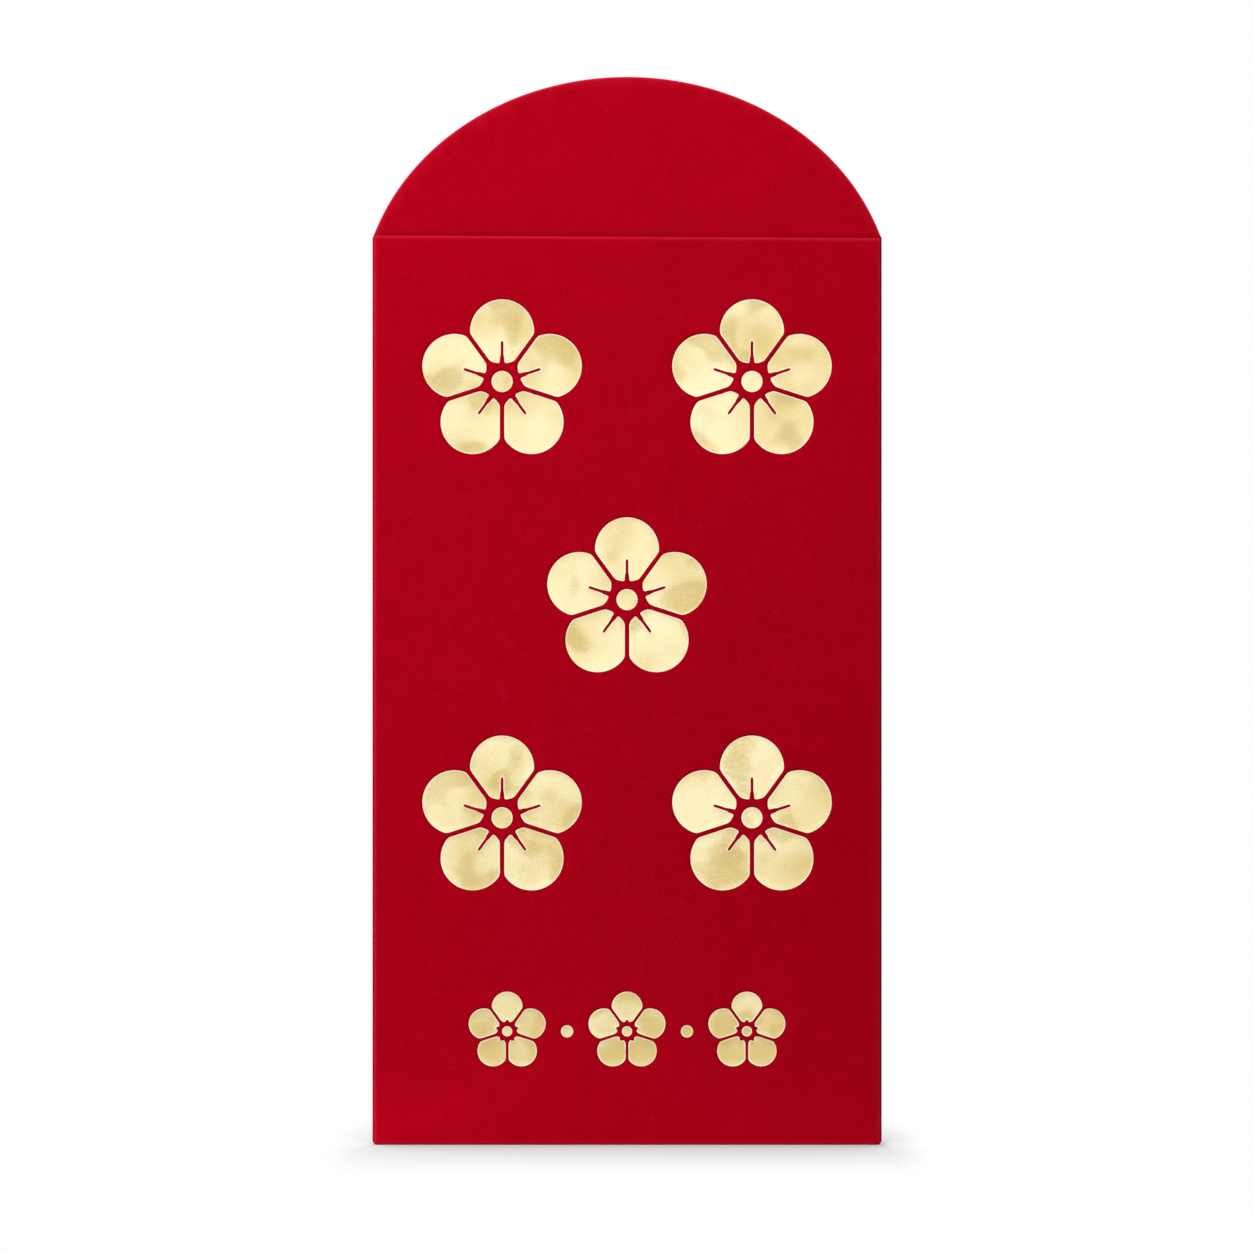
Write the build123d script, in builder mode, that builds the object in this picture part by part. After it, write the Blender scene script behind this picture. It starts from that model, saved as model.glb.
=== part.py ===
"""Red money envelope: one creased, folded and glued sheet of paper with stamped gold foil.

X runs across the packet, +Y runs from the printed front to the back, and +Z runs up.
The origin is under the middle of the standing edge, and lengths are in millimetres.
"""
import os
from math import sqrt

from build123d import *

# The sheet and the packet that it folds into
panel_width = 90.0
panel_height = 160.4
paper = 0.35
pocket_depth = 1.2
glue_film = 0.06

# Folds: outer bend radius, flat lip beside each bend, round foot corner, and gap below the flap
fold_radius = 0.7
fold_lip = 0.4
corner_radius = 0.7
mouth_relief = 0.15

# Closing flap: part of an ellipse whose centre lies below the crease
flap_height = 28.1
flap_root_inset = 0.25
flap_centre_drop = 12.6
flap_closed_gap = 0.2

# Score pressed into the front along the crease of the closing flap
score_depth = 0.14
score_half_width = 0.45

# Back panel: free edge and thumb throat
back_edge_inset = 1.3
throat_width = 60.0
throat_depth = 7.0
throat_blend = 14.0

# Side seam flap and bottom flap
seam_width = 14.0
seam_end_gap = 1.0
seam_taper = 5.0
bottom_flap_height = 16.0
bottom_flap_taper = 3.5
bottom_flap_corner = 3.0
glue_inset = 1.5

# Foil pressed into the front: film, recess, and the gap round each island
foil_thickness = 0.05
deboss_depth = 0.09
foil_edge_gap = 0.05

# Large and small blossoms: tip radius and the paper line between petals
petal_count = 5
blossom_radius = 14.5
blossom_line = 0.8
stamen_width = 0.5
small_blossom_radius = 7.0
small_blossom_line = 0.5
dot_radius = 1.1

# Proportions of a blossom, as shares of its tip radius
petal_radius_share = 0.39
disc_radius_share = 0.13
stamen_reach_share = 0.5

# Places of the blossoms, as shares of the panel's width and height
column_share = 0.245
middle_share = 0.6
pitch_share = 0.24
row_height_share = 0.125
row_pitch_share = 0.235

# Depth of each layer, from the printed front to the bottom flap
packet_depth = 4 * paper + pocket_depth + 2 * glue_film
front_face_y = -packet_depth / 2
front_inner_y = front_face_y + paper
seam_inner_y = front_inner_y + pocket_depth
seam_outer_y = seam_inner_y + paper
back_inner_y = seam_outer_y + glue_film
back_outer_y = back_inner_y + paper
bottom_flap_y = back_outer_y + glue_film
foil_seat_y = front_face_y + deboss_depth

# Edges that several panels share
fold_band = fold_radius + fold_lip
side_x = panel_width / 2
flat_x = side_x - fold_band
flat_width = 2 * flat_x
mouth_z = panel_height - mouth_relief

# Hinge line of the closing flap, midway between its open and its folded place
hinge_y = (front_inner_y + back_outer_y + flap_closed_gap) / 2


def sheet_plane(y):
    """Upright plane at depth y that faces the viewer, with sketch x on X and sketch y on Z."""
    return Plane(origin=(0, y, 0), x_dir=(1, 0, 0), z_dir=(0, -1, 0))


def draw_fold(depth):
    """U section of a fold: sketch x leads away from the bend, sketch y from front to back."""
    with BuildLine() as bend:
        Polyline((fold_band, 0), (0, 0), (0, depth), (fold_band, depth))
        fillet(bend.vertices().group_by(Axis.X)[0], radius=fold_radius)
        offset(amount=paper, side=Side.RIGHT)
    make_face(bend.edges())


def draw_foot_corners():
    """The two slivers that go where the packet's lower corners are round."""
    low_middle = (Align.CENTER, Align.MIN)
    Rectangle(panel_width, corner_radius, align=low_middle)
    RectangleRounded(panel_width, panel_height, corner_radius, align=low_middle, mode=Mode.SUBTRACT)


def draw_bottom_flap():
    """Tapered flap, with round corners at its free edge."""
    top_x = flat_x - bottom_flap_taper
    with BuildLine() as outline:
        Polyline(
            (-flat_x, fold_band),
            (flat_x, fold_band),
            (top_x, bottom_flap_height),
            (-top_x, bottom_flap_height),
            close=True,
        )
    make_face(outline.edges())


def draw_seam_flap():
    """Strip along the right fold, tapered at both ends."""
    low_z = fold_band + seam_end_gap
    high_z = mouth_z - seam_end_gap
    with BuildLine() as outline:
        Polyline(
            (flat_x, low_z),
            (flat_x, high_z),
            (flat_x - seam_width, high_z - seam_taper),
            (flat_x - seam_width, low_z + seam_taper),
            close=True,
        )
    make_face(outline.edges())


def petal_circle(radius):
    """Radius of a petal, and how far its middle lies from the middle of the blossom."""
    petal_radius = radius * petal_radius_share
    return petal_radius, radius - petal_radius


def draw_blossom(radius, line, with_stamens):
    """Five round petals about a disc, parted by thin lines of bare paper."""
    petal_radius, petal_offset = petal_circle(radius)
    disc_radius = radius * disc_radius_share
    half_step = 360 / petal_count / 2
    with PolarLocations(petal_offset, petal_count, start_angle=90):
        Circle(petal_radius)
    with PolarLocations(petal_offset / 2, petal_count, start_angle=90 + half_step):
        Rectangle(2 * petal_offset, line, mode=Mode.SUBTRACT)
    if with_stamens:
        stamen_reach = radius * stamen_reach_share
        with PolarLocations(stamen_reach / 2, petal_count, start_angle=90):
            Rectangle(stamen_reach, stamen_width, mode=Mode.SUBTRACT)
    Circle(disc_radius + line, mode=Mode.SUBTRACT)
    Circle(disc_radius)


def draw_recess(radius):
    """Outline of a whole blossom, a little larger than its foil."""
    petal_radius, petal_offset = petal_circle(radius)
    with PolarLocations(petal_offset, petal_count, start_angle=90):
        Circle(petal_radius + foil_edge_gap)
    Circle(petal_offset)


# Places of the motifs on the front, as sketch x and sketch y
column_x = panel_width * column_share
middle_z = panel_height * middle_share
pitch_z = panel_height * pitch_share
row_z = panel_height * row_height_share
row_pitch = panel_width * row_pitch_share
blossom_places = [
    (-column_x, middle_z + pitch_z),
    (column_x, middle_z + pitch_z),
    (0, middle_z),
    (-column_x, middle_z - pitch_z),
    (column_x, middle_z - pitch_z),
]
row_places = [(-row_pitch, row_z), (0, row_z), (row_pitch, row_z)]
dot_places = [(-row_pitch / 2, row_z), (row_pitch / 2, row_z)]


# Front panel, with the score along its top edge and a shallow recess for every motif
with BuildPart() as front_panel:
    with BuildSketch(sheet_plane(front_face_y)):
        with Locations((0, fold_band)):
            Rectangle(flat_width, panel_height - fold_band, align=(Align.CENTER, Align.MIN))
    extrude(amount=-paper)
    score_edge = front_panel.edges().filter_by(Axis.X).group_by(Axis.Y)[0].sort_by(Axis.Z)[-1]
    front_face = front_panel.faces().sort_by(Axis.Y)[0]
    chamfer(score_edge, length=score_half_width, length2=score_depth, reference=front_face)
    with BuildSketch(sheet_plane(front_face_y)):
        with Locations(*blossom_places):
            draw_recess(blossom_radius)
        with Locations(*row_places):
            draw_recess(small_blossom_radius)
        with Locations(*dot_places):
            Circle(dot_radius + foil_edge_gap)
    extrude(amount=-deboss_depth, mode=Mode.SUBTRACT)

# Closing flap, whose root meets the front panel at the crease
with BuildPart() as closing_flap:
    rise = flap_centre_drop + flap_height
    root_x = side_x - flap_root_inset
    reach = root_x / sqrt(1 - (flap_centre_drop / rise) ** 2)
    with BuildSketch(sheet_plane(front_face_y)):
        with Locations((0, panel_height - flap_centre_drop)):
            Ellipse(reach, rise)
        with Locations((0, panel_height)):
            Rectangle(2 * reach, 2 * rise, align=(Align.CENTER, Align.MAX), mode=Mode.SUBTRACT)
    extrude(amount=-paper)
    score_edge = closing_flap.edges().filter_by(Axis.X).group_by(Axis.Y)[0].sort_by(Axis.Z)[0]
    front_face = closing_flap.faces().sort_by(Axis.Y)[0]
    chamfer(score_edge, length=score_half_width, length2=score_depth, reference=front_face)

# Left fold, from the front panel round to the back panel, with a round corner at its foot
with BuildPart() as left_fold:
    left_corner = Plane(origin=(-side_x, front_face_y, 0), x_dir=(1, 0, 0), z_dir=(0, 0, 1))
    with BuildSketch(left_corner):
        draw_fold(back_outer_y - front_face_y)
    extrude(amount=mouth_z)
    with BuildSketch(sheet_plane(front_face_y)):
        draw_foot_corners()
    extrude(amount=-packet_depth, mode=Mode.SUBTRACT)

# Right fold, from the front panel round to the seam flap, with a round corner at its foot
with BuildPart() as right_fold:
    right_corner = Plane(origin=(side_x, front_face_y, mouth_z), x_dir=(-1, 0, 0), z_dir=(0, 0, -1))
    with BuildSketch(right_corner):
        draw_fold(seam_outer_y - front_face_y)
    extrude(amount=mouth_z)
    with BuildSketch(sheet_plane(front_face_y)):
        draw_foot_corners()
    extrude(amount=-packet_depth, mode=Mode.SUBTRACT)

# Bottom fold, from the front panel round to the bottom flap
with BuildPart() as bottom_fold:
    standing_edge = Plane(origin=(flat_x, front_face_y, 0), x_dir=(0, 0, 1), z_dir=(-1, 0, 0))
    with BuildSketch(standing_edge):
        draw_fold(packet_depth)
    extrude(amount=flat_width)

# Back panel, with the thumb throat in its top edge
with BuildPart() as back_panel:
    free_x = side_x - back_edge_inset
    throat_radius = (throat_width**2 / 4 + throat_depth**2) / (2 * throat_depth)
    with BuildSketch(sheet_plane(back_inner_y)) as outline:
        with Locations((-flat_x, fold_band)):
            Rectangle(flat_x + free_x, mouth_z - fold_band, align=Align.MIN)
        with Locations((0, mouth_z + throat_radius - throat_depth)):
            Circle(throat_radius, mode=Mode.SUBTRACT)
        throat_ends = outline.vertices().group_by(Axis.Y)[-1].sort_by(Axis.X)[1:3]
        fillet(throat_ends, radius=throat_blend)
    extrude(amount=-paper)

# Side seam flap, glued inside the back panel
with BuildPart() as side_seam_flap:
    with BuildSketch(sheet_plane(seam_inner_y)):
        draw_seam_flap()
    extrude(amount=-paper)

with BuildPart() as side_seam_glue:
    with BuildSketch(sheet_plane(seam_outer_y)):
        draw_seam_flap()
        offset(amount=-glue_inset, kind=Kind.INTERSECTION)
    extrude(amount=-glue_film)

# Bottom flap, glued over the outside of the back panel
with BuildPart() as bottom_flap:
    with BuildSketch(sheet_plane(bottom_flap_y)) as outline:
        draw_bottom_flap()
        fillet(outline.vertices().group_by(Axis.Y)[-1], radius=bottom_flap_corner)
    extrude(amount=-paper)

with BuildPart() as bottom_seam_glue:
    with BuildSketch(sheet_plane(back_outer_y)):
        draw_bottom_flap()
        offset(amount=-glue_inset, kind=Kind.INTERSECTION)
    extrude(amount=-glue_film)

pieces = {
    "front_panel": front_panel,
    "closing_flap": closing_flap,
    "left_fold": left_fold,
    "right_fold": right_fold,
    "bottom_fold": bottom_fold,
    "back_panel": back_panel,
    "side_seam_flap": side_seam_flap,
    "side_seam_glue": side_seam_glue,
    "bottom_flap": bottom_flap,
    "bottom_seam_glue": bottom_seam_glue,
}

# Foil islands, seated on the floors of the recesses
for number, place in enumerate(blossom_places, start=1):
    with BuildPart() as foil_blossom:
        with BuildSketch(sheet_plane(foil_seat_y)):
            with Locations(place):
                draw_blossom(blossom_radius, blossom_line, with_stamens=True)
        extrude(amount=foil_thickness)
    pieces[f"foil_blossom_{number}"] = foil_blossom

for number, place in enumerate(row_places, start=1):
    with BuildPart() as foil_row_blossom:
        with BuildSketch(sheet_plane(foil_seat_y)):
            with Locations(place):
                draw_blossom(small_blossom_radius, small_blossom_line, with_stamens=False)
        extrude(amount=foil_thickness)
    pieces[f"foil_row_blossom_{number}"] = foil_row_blossom

with BuildPart() as foil_row_dots:
    with BuildSketch(sheet_plane(foil_seat_y)):
        with Locations(*dot_places):
            Circle(dot_radius)
    extrude(amount=foil_thickness)
pieces["foil_row_dots"] = foil_row_dots

os.makedirs("parts", exist_ok=True)
for name, piece in pieces.items():
    piece.part.label = name
    export_step(piece.part, f"parts/{name}.step")

print(f"Packet depth {packet_depth:.3f}, hinge line at y {hinge_y:.3f}, z {panel_height:.3f}")
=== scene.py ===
"""Looks of the red envelope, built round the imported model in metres.

X runs across the packet, +Y runs from the printed front to the back, and +Z runs up.
"""

import math

import bmesh
import bpy
import numpy as np
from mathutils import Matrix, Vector
from mathutils.geometry import delaunay_2d_cdt


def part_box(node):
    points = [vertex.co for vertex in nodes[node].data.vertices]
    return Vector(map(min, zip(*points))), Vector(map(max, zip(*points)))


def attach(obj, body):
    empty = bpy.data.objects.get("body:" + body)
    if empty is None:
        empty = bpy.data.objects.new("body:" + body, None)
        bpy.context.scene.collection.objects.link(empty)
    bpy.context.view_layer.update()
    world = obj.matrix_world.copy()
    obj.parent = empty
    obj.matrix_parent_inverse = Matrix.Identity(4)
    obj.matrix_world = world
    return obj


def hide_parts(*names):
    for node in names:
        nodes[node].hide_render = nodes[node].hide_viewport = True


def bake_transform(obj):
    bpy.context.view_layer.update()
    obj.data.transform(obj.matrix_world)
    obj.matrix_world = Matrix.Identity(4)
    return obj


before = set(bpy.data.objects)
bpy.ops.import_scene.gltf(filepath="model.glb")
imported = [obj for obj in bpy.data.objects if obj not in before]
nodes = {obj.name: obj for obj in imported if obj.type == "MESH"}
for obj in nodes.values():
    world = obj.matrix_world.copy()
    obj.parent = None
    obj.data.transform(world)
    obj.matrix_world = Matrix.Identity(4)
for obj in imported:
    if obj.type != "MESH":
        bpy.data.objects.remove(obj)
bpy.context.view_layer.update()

MM = 0.001

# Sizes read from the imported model
front_low, front_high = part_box("front_panel")
front_y = front_low.y
paper = front_high.y - front_low.y
flat_x = front_high.x
flat_low_z = front_low.z
crease_z = front_high.z
flap_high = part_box("closing_flap")[1]
flap_root_x = flap_high.x
flap_tip_z = flap_high.z
side_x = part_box("right_fold")[1].x

# Sheet: grid of points and how clear they keep of an island or an edge, outward bow of the panels,
# and the ellipse of the flap
grid_step = 2.5 * MM
island_clear = grid_step / 3
edge_clear = grid_step / 2
panel_bow = 0.35 * MM
flap_centre_drop = 12.6 * MM
flap_arc_steps = 88

# Cut edges, as rings: distance from the edge, how far the rounded edge lies back there, and how pale
# it is there, from wear and a painted highlight
cut_rings = ((0.0, 0.10 * MM, 1.8), (0.14 * MM, 0.04 * MM, 1.0), (0.42 * MM, 0.0, 0.2))
soft_rings = ((0.0, 0.08 * MM, 0.6), (0.1 * MM, 0.0, 0.3), (0.4 * MM, 0.0, 0.0))

# Score along the crease: depth, reach and steepness below and above, how the painted highlight on
# its lit lower side fades, how far its line lies below the crease and slants, its rows as shares of
# the reach, the step along them, and its unevenness in waves of (length, size, phase)
score_depth = 0.25 * MM
score_reach = (0.85 * MM, 1.0 * MM)
score_powers = (3.0, 2.5)
score_wear_power = 2
score_drop = 0.12 * MM
score_slant = -0.0053
score_row_shares = (0.04, 0.14, 0.28, 0.46, 0.7, 1.0)
score_step = 0.9 * MM
score_clear = score_step / 3
score_ripple = 0.07
score_waves = ((7.3 * MM, 0.4, 0.6), (3.1 * MM, 0.35, 2.1), (1.9 * MM, 0.25, 4.4))

# Roll of the sheet over the packet's edge when the flap folds: how far below the crease it starts
# and above it ends, and rows of points above the crease, in the sheet and on the flap's edge
roll_rows = tuple(offset * MM for offset in (1.25, 1.55, 1.9, 2.5, 3.4))
root_rows = tuple(offset * MM for offset in (0.0, 0.3, 0.6, 0.9)) + roll_rows

# Foil: slope of the pressed paper round an island, its rings and its edge darkened by painted
# shade, the depths of the paper and the film, and the film's grid of points
slope_width = 0.4 * MM
slope_ring_shares = (0.3, 0.62, 1.0)
# Painted shade that darkens the pressed paper round each island
press_wear = -0.5
edge_depth = 0.085 * MM
bed_inset = 0.3 * MM
bed_depth = 0.18 * MM
foil_lift = 0.012 * MM
foil_film = 0.02 * MM
foil_grid = 1.1 * MM
foil_clear = foil_grid / 2

# Foil from its edge inward: distance, depth below the film's edge, and share of the painted bright
# rim highlight
foil_rings = ((0.11 * MM, 0.004 * MM, 0.85), (0.27 * MM, 0.024 * MM, 0.0))

# Outlines: spacing of the foil's points, shortest edge kept of the foil and the panels, and rounds
# of smoothing that soften the foil's corners
outline_step = 0.3 * MM
shortest_edge = 0.12 * MM
softening_rounds = 3

# Limits of the mesh work: edges shaded sharp, mitres of an offset loop and how near its own loop it
# may come, points taken as one, digits of a place, y of a front face's normal, and level edges
SHARP_ANGLE = math.radians(14)
MITRE_FLOOR = 0.35
OFFSET_SLACK = 0.97
CDT_EPSILON = 1e-6
PLACE_DIGITS = 7
FRONT_FACING = -0.9
LEVEL_RISE = 1e-12


# Flat outlines

def front_outlines(name):
    """Closed outlines of a node's front faces, each an anticlockwise array of (x, z)."""
    mesh = nodes[name].data
    places = [(round(v.co.x, PLACE_DIGITS), round(v.co.z, PLACE_DIGITS)) for v in mesh.vertices]
    following = {}
    for polygon in mesh.polygons:
        if polygon.normal.y > FRONT_FACING:
            continue
        corners = [places[i] for i in polygon.vertices]
        for start, end in zip(corners, corners[1:] + corners[:1]):
            following[(start, end)] = True
    ahead = {start: end for start, end in following if (end, start) not in following}
    outlines = []
    while ahead:
        start = min(ahead)
        loop = [start]
        while ahead[loop[-1]] != start:
            loop.append(ahead[loop[-1]])
        for place in loop:
            del ahead[place]
        outlines.append(np.array(loop))
    return outlines


def without_short_edges(loop, shortest):
    """The loop with every point dropped that lies too close to the one kept before it."""
    kept = [loop[0]]
    for point in loop[1:]:
        if np.linalg.norm(point - kept[-1]) > shortest:
            kept.append(point)
    if np.linalg.norm(kept[-1] - kept[0]) < shortest:
        kept.pop()
    return np.array(kept)


def with_long_edges_split(loop, longest):
    """The loop with points added so that no edge is longer than longest."""
    points = []
    for start, end in zip(loop, np.roll(loop, -1, axis=0)):
        count = max(1, math.ceil(np.linalg.norm(end - start) / longest))
        points += [start + (end - start) * i / count for i in range(count)]
    return np.array(points)


def softened(loop, rounds):
    """The loop with its corners rounded by averaging each point with its neighbours."""
    for _ in range(rounds):
        loop = (np.roll(loop, 1, axis=0) + 2 * loop + np.roll(loop, -1, axis=0)) / 4
    return loop


def edge_distance(points, loop):
    """Distance from each point to the nearest edge of the loop."""
    along = np.roll(loop, -1, axis=0) - loop
    reach = points[:, None] - loop[None]
    share = np.clip((reach * along).sum(axis=2) / (along ** 2).sum(axis=1), 0, 1)
    return np.linalg.norm(reach - share[:, :, None] * along, axis=2).min(axis=1)


def offset_loop(loop, inward):
    """The loop moved sideways, towards its inside where inward is positive."""
    along = np.roll(loop, -1, axis=0) - loop
    along /= np.linalg.norm(along, axis=1)[:, None]
    after = np.column_stack((-along[:, 1], along[:, 0]))
    before = np.roll(after, 1, axis=0)
    spread = np.maximum(1 + (before * after).sum(axis=1), MITRE_FLOOR)
    moved = loop + inward * (before + after) / spread[:, None]
    return moved[edge_distance(moved, loop) > OFFSET_SLACK * abs(inward)]


def inside(points, loop):
    """For each point, whether it lies inside the loop."""
    x, z = points[:, 0, None], points[:, 1, None]
    ends = np.roll(loop, -1, axis=0)
    above = (loop[:, 1] > z) != (ends[:, 1] > z)
    rise = np.where(ends[:, 1] == loop[:, 1], LEVEL_RISE, ends[:, 1] - loop[:, 1])
    crossing = loop[:, 0] + (z - loop[:, 1]) * (ends[:, 0] - loop[:, 0]) / rise
    return (above & (x < crossing)).sum(axis=1) % 2 == 1


def far_from(points, loop, distance):
    """For each point, whether every corner of the loop is at least distance away."""
    return np.linalg.norm(points[:, None] - loop[None], axis=2).min(axis=1) > distance


def grid_inside(loop, step, margin):
    """Grid points inside the loop, kept clear of its edge."""
    low, high = loop.min(axis=0), loop.max(axis=0)
    counts = np.maximum(np.ceil((high - low) / step).astype(int), 2)
    xs = np.linspace(low[0], high[0], counts[0] + 1)
    zs = np.linspace(low[1], high[1], counts[1] + 1)
    points = np.array([(x, z) for z in zs for x in xs])
    edge = with_long_edges_split(loop, margin)
    return points[inside(points, loop) & far_from(points, edge, margin)]


class Layer:
    """One face of a sheet: flat points, how deep each is and its wear and painted light, and edges
    to keep.
    """

    def __init__(self, outline):
        self.outline = outline
        self.points = np.empty((0, 2))
        self.depths = np.empty(0)
        self.wears = np.empty(0)
        self.edges = []

    def add_points(self, points, depth, wear=0.0):
        start = len(self.points)
        self.points = np.vstack((self.points, points))
        self.depths = np.append(self.depths, np.broadcast_to(depth, len(points)))
        self.wears = np.append(self.wears, np.broadcast_to(wear, len(points)))
        return start

    def add_line(self, points, depth, wear=0.0):
        start = self.add_points(points, depth, wear)
        self.edges += [(start + i, start + i + 1) for i in range(len(points) - 1)]
        return start

    def add_loop(self, points, depth, wear=0.0):
        start = self.add_line(points, depth, wear)
        self.edges.append((start + len(points) - 1, start))

    def triangles(self):
        """Triangles through all points, wound to face the viewer, and none outside the outline."""
        flat = [Vector(p / MM) for p in self.points]
        places, _, faces, origins, _, _ = delaunay_2d_cdt(flat, self.edges, [], 0, CDT_EPSILON)
        crossings = [tuple(round(c, 2) for c in p) for p, o in zip(places, origins) if not o]
        if crossings:
            raise ValueError(f"Kept edges cross, in millimetres at {crossings}")
        faces = np.array([[origins[i][0] for i in face] for face in faces])
        corners = self.points[faces]
        faces = faces[inside(corners.mean(axis=1), self.outline)]
        a, b, c = (self.points[faces[:, i]] for i in range(3))
        area = np.cross(b - a, c - a)
        faces[area < 0] = faces[area < 0][:, ::-1]
        return faces[np.abs(area) > 0]


# Meshes

def make_piece(name, places, faces, material, **values):
    """A mesh object with its rest places, and any other values of its points, as attributes."""
    mesh = bpy.data.meshes.new(name)
    mesh.from_pydata([tuple(p) for p in places], [], [tuple(map(int, f)) for f in faces])
    mesh.validate()
    rest = mesh.attributes.new("rest", "FLOAT_VECTOR", "POINT")
    rest.data.foreach_set("vector", np.asarray(places, np.float32).ravel())
    for key, numbers in values.items():
        attribute = mesh.attributes.new(key, "FLOAT", "POINT")
        attribute.data.foreach_set("value", np.asarray(numbers, np.float32))
    mesh.shade_smooth()
    mesh.set_sharp_from_angle(angle=SHARP_ANGLE)
    mesh.materials.append(material)
    piece = bpy.data.objects.new(name, mesh)
    bpy.context.scene.collection.objects.link(piece)
    return piece


def close_sheet(name, front, back, front_face_y, back_face_y, bow, material):
    """A closed sheet between two layers that begin with the same outline points.

    A layer's depths run into the sheet, and bow gives the sheet's own y at each flat point.
    """
    rim = len(front.outline)
    front_faces = front.triangles()
    back_faces = back.triangles()[:, ::-1] + len(front.points)
    walls = []
    for i in range(rim):
        after = (i + 1) % rim
        walls.append((after, i, len(front.points) + i, len(front.points) + after))
    front_ys = front_face_y + front.depths + bow(front.points)
    back_ys = back_face_y - back.depths + bow(back.points)
    flat = np.vstack((front.points, back.points))
    ys = np.append(front_ys, back_ys)
    places = np.column_stack((flat[:, 0], ys, flat[:, 1]))
    faces = [*front_faces, *back_faces, *walls]
    return make_piece(name, places, faces, material, wear=np.append(front.wears, back.wears))


def swell(flat):
    """0 at the packet's edges and 1 in the middle of a panel, level where it meets the folds."""
    middle_z = (flat_low_z + crease_z) / 2
    half_z = (crease_z - flat_low_z) / 2
    across = np.clip(1 - (flat[:, 0] / flat_x) ** 2, 0, 1) ** 2
    along = np.clip(1 - ((flat[:, 1] - middle_z) / half_z) ** 2, 0, 1) ** 2
    return across * along


def front_bow(flat):
    return -panel_bow * swell(flat)


def back_bow(flat):
    return panel_bow * swell(flat)


# Materials

# Noises are (scale, detail, roughness), and ranges are (low, high) or (low, high, to low, to high)
paper_cloud = (85.0, 3.0, 0.55)
paper_mottle = (420.0, 3.0, 0.6)
paper_grain = (1500.0, 4.0, 0.7)
paper_tone_weights = (0.35, 0.6, 1.35)
paper_tone_range = (0.75, 1.55)
paper_fleck = (760.0, 3.0, 0.7)
paper_fleck_range = (0.62, 0.78)
paper_fleck_share = 0.5
paper_relief_weights = (0.8, 0.5)
paper_relief = 0.03 * MM
paper_relief_strength = 0.6
red_deep = (0.352, 0.0003, 0.0070, 1)
red_light = (0.436, 0.0006, 0.0112, 1)
red_fleck = (0.56, 0.010, 0.034, 1)
# Paler reds for wear and painted highlights, palest as the painted highlight of the flap's cut edge,
# and a darker red for painted shade
red_highlight_and_wear = (0.50, 0.0105, 0.031, 1)
red_cut_edge_highlight = (0.66, 0.05, 0.09, 1)
red_painted_shade = (0.25, 0.0002, 0.004, 1)

foil_rim_highlight_noise = (260.0, 2.0, 0.55)
foil_rim_highlight_range = (0.36, 0.62, 0.45, 1.0)
foil_broad = (95.0, 2.0, 0.4)
foil_cloud = (420.0, 3.0, 0.55)
foil_crinkle = (2300.0, 4.0, 0.65)
foil_crinkle_turn = (0, 0.6, 0)
foil_crinkle_stretch = (0.4, 1, 1.3)
foil_grit = (3800.0, 2.0, 0.6)
foil_patch = (130.0, 1.0, 0.55)
foil_patch_range = (0.5, 0.66)
# Painted shade: the foot range darkens the gold towards the packet's bottom, and in the tone weights
# across darkens each motif's right side
foil_low_shade_range = (0.025, 0.055, 1.0, 0.0)
foil_tone_weights = (0.8, 0.04, -0.32, 0.32, -0.045, -0.11)
foil_tone_range = (0.29, 0.75)
foil_speck = (1900.0, 1.0, 0.55)
foil_speck_range = (0.76, 0.80)
foil_speck_share = 0.5
foil_rough_range = (0.1, 0.5, 0.24, 0.38)
foil_swell = 0.19 * MM
foil_fine_relief = 0.03 * MM
foil_fine_weights = (1.0, 0.35)
gold_deep = (0.77, 0.60, 0.245, 1)
gold_light = (1.0, 0.885, 0.535, 1)
gold_speck = (0.42, 0.30, 0.12, 1)
# Colour of the foil's painted rim highlight
gold_rim_highlight = (1.0, 0.96, 0.72, 1)

glue_cloud = (300.0, 4.0, 0.55)
glue_rough_range = (0.3, 0.7, 0.35, 0.6)
glue_deep = (0.62, 0.58, 0.48, 1)
glue_light = (0.78, 0.75, 0.66, 1)


def add(tree, kind, inputs=None, **settings):
    """A new node, with its settings, and its inputs set or linked."""
    node = tree.nodes.new(kind)
    for key, value in settings.items():
        setattr(node, key, value)
    for key, value in (inputs or {}).items():
        if isinstance(value, bpy.types.NodeSocket):
            tree.links.new(value, node.inputs[key])
        else:
            node.inputs[key].default_value = value
    return node


def noise(tree, place, scale, detail, roughness):
    inputs = {"Vector": place, "Scale": scale, "Detail": detail, "Roughness": roughness}
    return add(tree, "ShaderNodeTexNoise", inputs).outputs["Fac"]


def ramp(tree, value, low, high, to_low=0.0, to_high=1.0):
    inputs = {0: value, 1: low, 2: high, 3: to_low, 4: to_high}
    return add(tree, "ShaderNodeMapRange", inputs, interpolation_type="SMOOTHSTEP").outputs[0]


def maths(tree, operation, *values):
    return add(tree, "ShaderNodeMath", dict(enumerate(values)), operation=operation).outputs[0]


def sums(tree, values, weights):
    """The sum of each value times its weight."""
    total = 0.0
    for value, weight in zip(values, weights):
        total = maths(tree, "MULTIPLY_ADD", value, weight, total)
    return total


def mix_colours(tree, factor, first, second):
    inputs = {0: factor, 6: first, 7: second}
    return add(tree, "ShaderNodeMix", inputs, data_type="RGBA").outputs[2]


def mix_shaders(tree, factor, first, second):
    return add(tree, "ShaderNodeMixShader", {0: factor, 1: first, 2: second}).outputs[0]


def bump(tree, height, distance, strength=1.0, **normal):
    """A normal tilted by the height, over another normal where Normal is given."""
    inputs = {"Height": height, "Strength": strength, "Distance": distance, **normal}
    return add(tree, "ShaderNodeBump", inputs).outputs[0]


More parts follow.
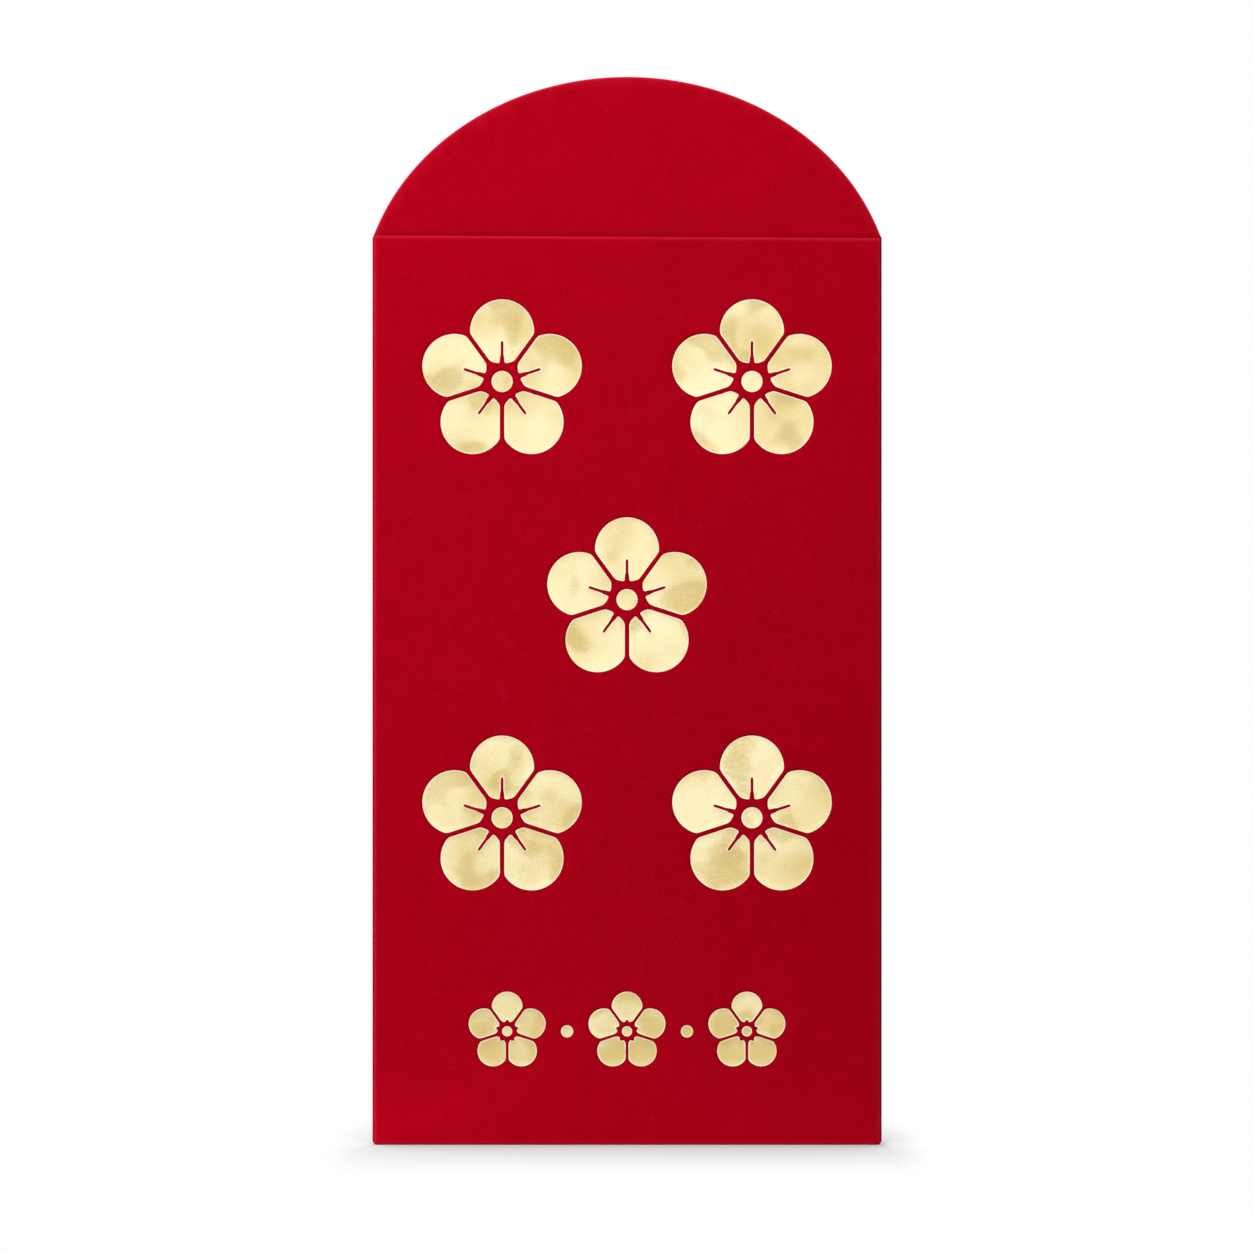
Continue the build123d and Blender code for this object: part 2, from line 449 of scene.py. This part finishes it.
def start_material(name):
    """An empty material with a principled surface, and that surface's node."""
    material = bpy.data.materials.new(name)
    material.use_nodes = True
    tree = material.node_tree
    tree.nodes.clear()
    surface = add(tree, "ShaderNodeBsdfPrincipled")
    add(tree, "ShaderNodeOutputMaterial", {"Surface": surface.outputs[0]})
    return material, tree, surface


def point_value(tree, name, output="Fac"):
    """A value that the mesh holds at its points."""
    return add(tree, "ShaderNodeAttribute", attribute_name=name).outputs[output]


def paper_material():
    """Matte dyed paper: cloudy, fibrous and flecked, paler with wear and painted highlights, and
    darker with painted shade in pressed hollows and on folds.
    """
    material, tree, surface = start_material("red_paper")
    place = point_value(tree, "rest", "Vector")
    wear = point_value(tree, "wear")
    cloud = noise(tree, place, *paper_cloud)
    mottle = noise(tree, place, *paper_mottle)
    grain = noise(tree, place, *paper_grain)
    fleck = ramp(tree, noise(tree, place, *paper_fleck), *paper_fleck_range)
    tone = sums(tree, (cloud, mottle, grain), paper_tone_weights)
    tone = ramp(tree, tone, *paper_tone_range)
    colour = mix_colours(tree, tone, red_deep, red_light)
    colour = mix_colours(tree, maths(tree, "MULTIPLY", fleck, paper_fleck_share), colour, red_fleck)
    # Wear and painted light: paler for wear and painted highlights, palest at the flap's cut edge,
    # darker for painted shade
    colour = mix_colours(tree, wear, colour, red_highlight_and_wear)
    colour = mix_colours(tree, maths(tree, "SUBTRACT", wear, 1.0), colour, red_cut_edge_highlight)
    colour = mix_colours(tree, maths(tree, "MULTIPLY", wear, -1.0), colour, red_painted_shade)
    relief = sums(tree, (grain, mottle), paper_relief_weights)
    tilted = bump(tree, relief, paper_relief, paper_relief_strength)
    tree.links.new(colour, surface.inputs["Base Color"])
    tree.links.new(tilted, surface.inputs["Normal"])
    surface.inputs["Roughness"].default_value = 0.85
    surface.inputs["Specular IOR Level"].default_value = 0.16
    surface.inputs["Specular Tint"].default_value = (1.0, 0.02, 0.10, 1)
    return material


def foil_material():
    """Pale gold hot foil: satin metal in broad soft tones, crinkled in places, with a painted bright
    rim highlight, and painted shade towards each motif's right side and towards the bottom.
    """
    material, tree, surface = start_material("gold_foil")
    place = point_value(tree, "rest", "Vector")
    across = point_value(tree, "across")
    # Painted highlight along the rim, uneven along it
    uneven = ramp(tree, noise(tree, place, *foil_rim_highlight_noise), *foil_rim_highlight_range)
    rim = maths(tree, "MULTIPLY", point_value(tree, "rim"), uneven)
    broad = noise(tree, place, *foil_broad)
    cloud = noise(tree, place, *foil_cloud)
    slant = {"Vector": place, "Rotation": foil_crinkle_turn, "Scale": foil_crinkle_stretch}
    slanted = add(tree, "ShaderNodeMapping", slant).outputs[0]
    crinkle = noise(tree, slanted, *foil_crinkle)
    grit = noise(tree, place, *foil_grit)
    patch = ramp(tree, noise(tree, place, *foil_patch), *foil_patch_range)
    creases = maths(tree, "MULTIPLY", crinkle, patch)
    # Painted shade: darker towards the bottom, and with across, towards each motif's right side
    height = add(tree, "ShaderNodeSeparateXYZ", {0: place}).outputs["Z"]
    foot = ramp(tree, height, *foil_low_shade_range)
    tone = sums(tree, (broad, cloud, creases, grit, across, foot), foil_tone_weights)
    tone = ramp(tree, tone, *foil_tone_range)
    speck = ramp(tree, noise(tree, place, *foil_speck), *foil_speck_range)
    colour = mix_colours(tree, tone, gold_deep, gold_light)
    colour = mix_colours(tree, maths(tree, "MULTIPLY", speck, foil_speck_share), colour, gold_speck)
    colour = mix_colours(tree, rim, colour, gold_rim_highlight)
    rough = ramp(tree, creases, *foil_rough_range)
    fine_relief = sums(tree, (creases, cloud), foil_fine_weights)
    fine = bump(tree, fine_relief, foil_fine_relief, Normal=bump(tree, broad, foil_swell))
    tree.links.new(colour, surface.inputs["Base Color"])
    tree.links.new(rough, surface.inputs["Roughness"])
    tree.links.new(fine, surface.inputs["Normal"])
    surface.inputs["Metallic"].default_value = 1.0
    return material


def glue_material():
    """Dried dispersion glue: pale, faintly cloudy, with a soft shine."""
    material, tree, surface = start_material("glue")
    place = add(tree, "ShaderNodeTexCoord").outputs["Object"]
    cloud = noise(tree, place, *glue_cloud)
    colour = mix_colours(tree, cloud, glue_deep, glue_light)
    tree.links.new(colour, surface.inputs["Base Color"])
    tree.links.new(ramp(tree, cloud, *glue_rough_range), surface.inputs["Roughness"])
    return material


paper_red = paper_material()
foil_gold = foil_material()
glue_pale = glue_material()


# Front panel and closing flap: one sheet across the crease

def flap_arc():
    """The flap's cut edge from its right root over the top to its left root."""
    rise = flap_tip_z - crease_z + flap_centre_drop
    reach = flap_root_x / math.sqrt(1 - (flap_centre_drop / rise) ** 2)
    root = np.arcsin((np.array(root_rows) + flap_centre_drop) / rise)
    rest = np.linspace(root[-1], math.pi - root[-1], flap_arc_steps + 1)
    turns = np.concatenate((root[:-1], rest, math.pi - root[:-1][::-1]))
    centre_z = crease_z - flap_centre_drop
    return np.column_stack((reach * np.cos(turns), centre_z + rise * np.sin(turns)))


def flap_edge(inward):
    """The flap's cut edge moved inward, with its ends kept on the crease."""
    arc = flap_arc()
    low_z = crease_z - grid_step
    closed = np.vstack((arc, (-flap_root_x, low_z), (flap_root_x, low_z)))
    moved = offset_loop(closed, inward)[: len(arc)]
    moved[0] = (flap_root_x - inward, crease_z)
    moved[-1] = (-flap_root_x + inward, crease_z)
    return moved


def score_rows():
    """Heights of the rows along the crease, from below it to above it."""
    below, above = score_reach
    low_rows = [-share * below for share in reversed(score_row_shares)]
    return low_rows + [share * above for share in score_row_shares]


def score_line(xs):
    """Height of the score's deepest line, which slants a little."""
    return crease_z - score_drop + score_slant * xs


def score_shape(points):
    """Depth of the score at flat points, and the painted highlight on its lit lower side there."""
    below, above = score_reach
    low_power, high_power = score_powers
    height = points[:, 1] - score_line(points[:, 0])
    low = np.clip(1 + height / below, 0, 1)
    high = np.clip(1 - height / above, 0, 1)
    depths = score_depth * np.where(height < 0, low ** low_power, high ** high_power)
    wears = np.where(height < 0, low ** score_wear_power, 0.0)
    return depths * (1 + score_ripple * ripple(points[:, 0])), wears


def front_grid():
    """The grid's columns, the panel's rows below the score and the flap's rows above the roll."""
    columns = np.linspace(-flat_x, flat_x, 2 * round(flat_x / grid_step) + 1)
    low_top = crease_z - 2 * score_reach[0]
    low_rows = np.linspace(flat_low_z, low_top, round((low_top - flat_low_z) / grid_step) + 1)
    high_low = crease_z + roll_rows[-1]
    high_count = round((flap_tip_z - high_low) / grid_step) + 1
    high_rows = np.linspace(high_low, flap_tip_z, high_count)[1:-1]
    return columns, low_rows, high_rows


def front_outline():
    columns, low_rows, _ = front_grid()
    rows = [*low_rows, *(crease_z + offset for offset in score_rows() if offset < 0)]
    right = [(flat_x, z) for z in rows[1:]] + [(flat_x, crease_z)]
    left = [(-x, z) for x, z in reversed(right)]
    bottom = [(x, flat_low_z) for x in columns]
    return np.array([*bottom, *right, *flap_arc(), *left])


def flap_half_width(z):
    arc = flap_arc()
    half = len(arc) // 2 + 1
    return np.interp(z, arc[:half, 1], arc[:half, 0])


def ripple(xs):
    """Uneven pressing along the score, between about -1 and 1."""
    waves = (size * np.sin(2 * math.pi * xs / length + turn) for length, size, turn in score_waves)
    return sum(waves)


def add_sheet_grid(layer, keep_out, groove):
    """Rows of points over the panel, the score and the flap, clear of the given islands."""
    columns, low_rows, high_rows = front_grid()
    lattice = np.array([(x, z) for z in low_rows[1:] for x in columns[1:-1]])
    for island in keep_out:
        lattice = lattice[~inside(lattice, island) & far_from(lattice, island, island_clear)]
    layer.add_points(lattice, 0.0)
    fine = np.linspace(-flat_x, flat_x, 2 * round(flat_x / score_step) + 1)
    for offset in [*score_rows(), *roll_rows]:
        reach = min(flat_x, flap_half_width(crease_z + offset) - cut_rings[-1][0])
        xs = fine[np.abs(fine) < reach - score_clear]
        row = np.column_stack((xs, score_line(xs) + offset))
        depths, wears = score_shape(row)
        layer.add_line(row, groove * depths, groove * wears)
    for z in high_rows:
        xs = columns[np.abs(columns) < flap_half_width(z) - edge_clear]
        if len(xs):
            layer.add_points(np.column_stack((xs, np.full(len(xs), z))), 0.0)


def rim_shape(outline, rings, groove):
    """Depth, and wear and painted highlight, of each outline point, from the flap's cut edge and
    from the score.
    """
    on_flap = outline[:, 1] > crease_z + CDT_EPSILON
    depths, wears = score_shape(outline)
    _, cut_depth, cut_wear = rings[0]
    depths = np.maximum(groove * depths, np.where(on_flap, cut_depth, 0.0))
    return depths, np.maximum(groove * wears, np.where(on_flap, cut_wear, 0.0))


def foil_islands():
    """Every foil outline on the front, by node, with softened corners."""
    islands = {}
    for name in sorted(name for name in nodes if name.startswith("foil_")):
        loops = [without_short_edges(loop, shortest_edge) for loop in front_outlines(name)]
        loops = [with_long_edges_split(loop, outline_step) for loop in loops]
        islands[name] = [softened(loop, softening_rounds) for loop in loops]
    return islands


def add_pressed_motif(layer, loops):
    """The paper under and round a motif: a slope down to each island, darkened by painted shade, and
    a flat bed under it.
    """
    for loop in loops:
        layer.add_loop(loop, edge_depth, press_wear)
        layer.add_points(offset_loop(loop, bed_inset), bed_depth)
    for share in slope_ring_shares:
        width = slope_width * share
        points = np.vstack([offset_loop(loop, -width) for loop in loops])
        distance = np.min([edge_distance(points, loop) for loop in loops], axis=0)
        covered = np.any([inside(points, loop) for loop in loops], axis=0)
        clear = points[~covered & (distance > OFFSET_SLACK * width)]
        layer.add_points(clear, edge_depth * (1 - share) ** 2, press_wear * (1 - share))


islands = foil_islands()


def make_front_sheet():
    outline = front_outline()
    front = Layer(outline)
    front.add_loop(outline, *rim_shape(outline, cut_rings, groove=1))
    for inward, depth, wear in cut_rings[1:]:
        edge = flap_edge(inward)[1:-1]
        front.add_line(edge, np.maximum(depth, score_shape(edge)[0]), wear)
    for loops in islands.values():
        add_pressed_motif(front, loops)
    keep_out = [offset_loop(loop, -slope_width) for loops in islands.values() for loop in loops]
    add_sheet_grid(front, keep_out, groove=1)
    back = Layer(outline)
    back.add_loop(outline, *rim_shape(outline, soft_rings, groove=0))
    for inward, depth, wear in soft_rings[1:]:
        back.add_line(flap_edge(inward)[1:-1], depth, wear)
    add_sheet_grid(back, [], groove=0)
    piece = close_sheet("front_sheet", front, back, front_y, front_y + paper, front_bow, paper_red)
    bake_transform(piece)
    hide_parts("front_panel", "closing_flap")


def make_foil(name, loops):
    """The film of one motif: a flat rim burnished by the die and paled by a painted highlight, and a
    shallow dish inside it.
    """
    places, faces, rim_highlight_shares = [], [], []
    for loop in loops:
        front = Layer(loop)
        front.add_loop(loop, edge_depth - foil_lift)
        shares = [1.0] * len(loop)
        for inward, drop, share in foil_rings:
            inner = offset_loop(loop, inward)
            front.add_points(inner, edge_depth - foil_lift + drop)
            shares += [share] * len(inner)
        front.add_points(grid_inside(inner, foil_grid, foil_clear), front.depths[-1])
        shares += [0.0] * (len(front.points) - len(shares))
        triangles = front.triangles()
        count = len(front.points)
        front_ys = front_y + front.depths + front_bow(front.points)
        start = len(places)
        for ys in (front_ys, front_ys + foil_film):
            places += list(zip(front.points[:, 0], ys, front.points[:, 1]))
            rim_highlight_shares += shares
        faces += [tuple(start + i for i in face) for face in triangles]
        faces += [tuple(start + count + i for i in face[::-1]) for face in triangles]
        for i in range(len(loop)):
            after = (i + 1) % len(loop)
            faces.append((start + after, start + i, start + count + i, start + count + after))
    xs = np.array(places)[:, 0]
    # Place across the motif, for painted shade on its right side
    across = 2 * (xs - xs.min()) / (xs.max() - xs.min()) - 1
    piece = make_piece(f"{name}_film", places, faces, foil_gold, rim=rim_highlight_shares, across=across)
    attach(piece, "packet")
    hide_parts(name)


make_front_sheet()
for node_name, node_loops in islands.items():
    make_foil(node_name, node_loops)


# Folds

# Bends as (radius, turn of the shoulder before the bend, lean of the side wall), the turns that
# get a painted highlight line and a painted shade line as (middle, reach), and their round ends
side_bend = (0.5 * MM, math.radians(9), 0.1 * MM)
foot_bend = (0.42 * MM, 0.0, 0.0)
thinnest_bend = 0.01 * MM
deepest_share = 0.4
shoulder_steps = 4
highlight_turn = (math.radians(14), math.radians(12))
shade_turn = (math.radians(52), math.radians(20))
corner_radius = 0.7 * MM
mouth_radius = 0.22 * MM
# Sizes of a fold's painted highlight line and painted shade line
fold_wear = (0.85, -0.95)
fold_turn_steps = 12
fold_step = 4.0 * MM
corner_steps = 8


def turn_wear(turn):
    """Painted light on a fold where its surface has turned so far: a painted highlight line, then a
    painted shade line.
    """
    lines = zip(fold_wear, (highlight_turn, shade_turn))
    return sum(size * math.exp(-(((turn - mid) / reach) ** 2)) for size, (mid, reach) in lines)


def fold_section(depth, band, bend, inset):
    """U section of a fold as (inward, depth, painted light, facing) points: outer line, then inner
    line back.

    Facing is 1 where the outer line faces the front. Inset moves that line in on all sides, which
    rounds the fold off at its end.
    """
    radius, shoulder, lean = bend
    turns = np.linspace(shoulder, math.pi / 2, fold_turn_steps + 1)
    lines = []
    for skin, on_outer_line in ((0.0, 1.0), (paper, 0.0)):
        inward = inset + skin
        deep = min(inward, deepest_share * depth)
        round_off = max(radius - inward, thinnest_bend)
        halves = []
        for aside, ahead in ((lean, on_outer_line), (0.0, 0.0)):
            start = min(inward + aside + round_off * (1 - math.sin(shoulder)), band - thinnest_bend)
            drop = math.tan(shoulder) * (band - start) / 2
            half = []
            for share in np.linspace(0, 1, shoulder_steps + 1)[:-1]:
                wear = on_outer_line * turn_wear(shoulder) * share ** 2
                half.append((band + share * (start - band), deep + drop * share ** 2, wear, ahead))
            for turn in turns:
                u = start - round_off * (math.sin(turn) - math.sin(shoulder))
                v = deep + drop + round_off * (math.cos(shoulder) - math.cos(turn))
                half.append((u, v, on_outer_line * turn_wear(turn), ahead * math.cos(turn) ** 2))
            halves.append(half)
        far = [(u, depth - v, *rest) for u, v, *rest in reversed(halves[1])]
        lines.append(halves[0] + far)
    return lines[0] + lines[1][::-1]


def make_fold(node, bend, stations, place):
    """A fold swept along its length: stations are (along, inset), and place makes a point."""
    low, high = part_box(node)
    band = min(high.x - low.x, high.z - low.z)
    places, faces, wears = [], [], []
    for along, inset in stations:
        section = fold_section(high.y - low.y, band, bend, inset)
        points = np.array([place(u, low.y + v, along) for u, v, *_ in section])
        section_wears, facing = np.array(section)[:, 2:].T
        # The score's depth and painted highlight carry onto the fold's front
        depths, score_wears = score_shape(points[:, ::2])
        points[:, 1] += facing * depths
        places += list(points)
        scored_wears = np.maximum(section_wears, facing * score_wears)
        wears += list(np.where(score_wears > 0, scored_wears, section_wears))
    count = len(section)
    half = count // 2
    for step in range(len(stations) - 1):
        a, b = step * count, (step + 1) * count
        faces += [(a + i, b + i, b + (i + 1) % count, a + (i + 1) % count) for i in range(count)]
    for base in (0, (len(stations) - 1) * count):
        last = base + count - 1
        caps = [(base + i, base + i + 1, last - i - 1, last - i) for i in range(half - 1)]
        faces += [cap[::-1] for cap in caps] if base else caps
    piece = make_piece(f"{node}_paper", places, faces, paper_red, wear=wears)
    face_outward(piece.data)
    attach(piece, "packet")
    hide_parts(node)


def face_outward(mesh):
    """Winds every face of a closed mesh to face outward."""
    work = bmesh.new()
    work.from_mesh(mesh)
    bmesh.ops.recalc_face_normals(work, faces=work.faces)
    work.to_mesh(mesh)
    work.free()


def side_stations(x):
    """Stations of a side fold: a round corner at the foot, the score's rows, and a round mouth."""
    turns = np.linspace(0, math.pi / 2, corner_steps + 1)
    corner = [(1 - math.cos(t), 1 - math.sin(t)) for t in turns]
    foot = [(corner_radius * along, corner_radius * inset) for along, inset in corner]
    corner.reverse()
    mouth = [(crease_z - mouth_radius * along, mouth_radius * inset) for along, inset in corner]
    rows = [score_line(x) + offset for offset in score_rows()]
    rows = [z for z in rows if z < mouth[0][0] - thinnest_bend]
    steps = round((crease_z - corner_radius) / fold_step)
    straight = np.linspace(foot[-1][0], rows[0], steps + 1)[1:-1]
    return [*foot, *((z, 0.0) for z in [*straight, *rows]), *mouth]


foot_steps = 2 * round(flat_x / grid_step)
foot_stations = [(x, 0.0) for x in np.linspace(-flat_x, flat_x, foot_steps + 1)]
make_fold("left_fold", side_bend, side_stations(-side_x), lambda u, y, along: (u - side_x, y, along))
make_fold("right_fold", side_bend, side_stations(side_x), lambda u, y, along: (side_x - u, y, along))
make_fold("bottom_fold", foot_bend, foot_stations, lambda u, y, along: (along, y, u))


# Back panel, seam flap and bottom flap

joint_reach = 0.5 * MM
joined_sides = {"back_panel": (0, -1), "side_seam_flap": (0, 1), "bottom_flap": (1, -1)}


def make_panel(node, joined_axis, joined_sign):
    """A panel with its node's outline, rounded and paled by wear and a painted highlight at its cut
    edges but not at its fold.
    """
    low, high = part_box(node)
    loop = without_short_edges(front_outlines(node)[0], shortest_edge)
    loop = with_long_edges_split(loop, grid_step)
    joint = (joined_sign * loop[:, joined_axis]).max() - joint_reach
    layer = Layer(loop)
    for inward, depth, wear in soft_rings:
        ring = offset_loop(loop, inward) if inward else loop
        cut = joined_sign * ring[:, joined_axis] < joint
        layer.add_loop(ring, np.where(cut, depth, 0.0), np.where(cut, wear, 0.0))
    layer.add_points(grid_inside(loop, grid_step, edge_clear), 0.0)
    piece = close_sheet(f"{node}_paper", layer, layer, low.y, high.y, back_bow, paper_red)
    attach(piece, "packet")
    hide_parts(node)


for node_name, joined_side in joined_sides.items():
    make_panel(node_name, *joined_side)
for node_name in ("side_seam_glue", "bottom_seam_glue"):
    nodes[node_name].data.materials.clear()
    nodes[node_name].data.materials.append(glue_pale)


# Stage

# Camera, the floor's colours with its painted contact shadow and painted shade on the lamp's side,
# its fades, the surroundings, and the lamps as (name, place, target, size, watts)
camera_distance = 1.0
frame_width = 0.2213
frame_middle_z = 0.0914
sensor_width = 36.0
camera_clip = (0.01, 20.0)
floor_reach = 0.3
floor_seen = (0.615, 0.65, 0.65, 1)
floor_painted_shadow = (0.535, 0.566, 0.566, 1)
floor_bounce = (0.80, 0.80, 0.80, 1)
side_fade = 7.0
floor_fade = (-0.012, 0.065)
contact_shadow_fade = (0.004, 0.0085)
lamp_side_shade_share = 0.3
fill_range = (-0.1, 0.8, 0.20, 0.55)
gloss_range = (-0.34, 0.04, 0.62, 1.12)
lamps = (
    ("top_front_softbox", (-0.06, -0.15, 0.42), (0, 0, 0.10), (0.5, 0.3), 1.75),
    ("top_back_softbox", (-0.06, 0.15, 0.42), (0, 0, 0.10), (0.5, 0.3), 1.65),
    ("left_softbox", (-0.42, -0.21, 0.03), (0, 0, 0.05), (0.3, 0.3), 1.86),
)


def make_camera():
    data = bpy.data.cameras.new("camera")
    data.sensor_width = sensor_width
    data.lens = sensor_width * camera_distance / frame_width
    data.clip_start, data.clip_end = camera_clip
    camera = bpy.data.objects.new("camera", data)
    camera.location = (0, front_y - camera_distance, frame_middle_z)
    camera.rotation_euler = (math.pi / 2, 0, 0)
    bpy.context.scene.collection.objects.link(camera)
    bpy.context.scene.camera = camera


def make_lamp(name, place, target, size, watts):
    data = bpy.data.lights.new(name, "AREA")
    data.shape = "RECTANGLE"
    data.size, data.size_y = size
    data.energy = watts
    lamp = bpy.data.objects.new(name, data)
    lamp.location = place
    lamp.rotation_euler = (Vector(target) - Vector(place)).to_track_quat("-Z", "Y").to_euler()
    lamp.visible_glossy = False
    bpy.context.scene.collection.objects.link(lamp)


def floor_material():
    """Pale floor round the object's foot that fades into the white surroundings, with a painted
    contact shadow at the foot and painted shade on the lamp's side.
    """
    material = bpy.data.materials.new("floor")
    material.use_nodes = True
    tree = material.node_tree
    tree.nodes.clear()
    place = add(tree, "ShaderNodeTexCoord").outputs["Object"]
    parts = add(tree, "ShaderNodeSeparateXYZ", {0: place}).outputs
    aside = maths(tree, "ABSOLUTE", parts["X"])
    past = maths(tree, "SUBTRACT", aside, side_x)
    past = maths(tree, "MAXIMUM", past, 0.0)
    past = maths(tree, "MULTIPLY", past, side_fade)
    away = add(tree, "ShaderNodeCombineXYZ", {"X": past, "Y": parts["Y"]}).outputs[0]
    away = add(tree, "ShaderNodeVectorMath", {0: away}, operation="LENGTH").outputs["Value"]
    seen = add(tree, "ShaderNodeLightPath").outputs["Is Camera Ray"]
    # Painted shadow at the object's foot, and painted shade on the lamp's side of the floor
    clear_of_contact_shadow = ramp(tree, away, *contact_shadow_fade)
    clear_of_side_shade = ramp(tree, parts["X"], -side_x, 0.0, lamp_side_shade_share, 1.0)
    unshaded_share = maths(tree, "MULTIPLY", clear_of_contact_shadow, clear_of_side_shade)
    ground = mix_colours(tree, unshaded_share, floor_painted_shadow, floor_seen)
    colour = mix_colours(tree, seen, floor_bounce, ground)
    diffuse = add(tree, "ShaderNodeBsdfDiffuse", {"Color": colour}).outputs[0]
    clear = add(tree, "ShaderNodeBsdfTransparent").outputs[0]
    faded = mix_shaders(tree, ramp(tree, away, *floor_fade), diffuse, clear)
    add(tree, "ShaderNodeOutputMaterial", {"Surface": faded})
    return material


def make_floor():
    signs = ((-1, -1), (1, -1), (1, 1), (-1, 1))
    corners = [(floor_reach * x, floor_reach * y, 0) for x, y in signs]
    mesh = bpy.data.meshes.new("floor")
    mesh.from_pydata(corners, [], [(0, 1, 2, 3)])
    mesh.materials.append(floor_material())
    floor = bpy.data.objects.new("floor", mesh)
    bpy.context.scene.collection.objects.link(floor)


def make_world():
    """White to the camera, a soft gradient to glossy surfaces, and fill from behind to the rest."""
    world = bpy.data.worlds.new("studio")
    bpy.context.scene.world = world
    world.use_nodes = True
    tree = world.node_tree
    tree.nodes.clear()
    path = add(tree, "ShaderNodeLightPath").outputs
    ray = add(tree, "ShaderNodeTexCoord").outputs["Generated"]
    parts = add(tree, "ShaderNodeSeparateXYZ", {0: ray}).outputs
    behind = ramp(tree, parts["Y"], *fill_range)
    lift = ramp(tree, parts["Z"], *gloss_range)
    white = {"Color": (1, 1, 1, 1)}
    fill = add(tree, "ShaderNodeBackground", {**white, "Strength": behind}).outputs[0]
    gloss = add(tree, "ShaderNodeBackground", {**white, "Strength": lift}).outputs[0]
    seen = add(tree, "ShaderNodeBackground", {**white, "Strength": 1.0}).outputs[0]
    soft = mix_shaders(tree, path["Is Glossy Ray"], fill, gloss)
    whole = mix_shaders(tree, path["Is Camera Ray"], soft, seen)
    add(tree, "ShaderNodeOutputWorld", {"Surface": whole})


make_camera()
make_floor()
make_world()
for lamp in lamps:
    make_lamp(*lamp)

bpy.context.scene.view_settings.view_transform = "Standard"
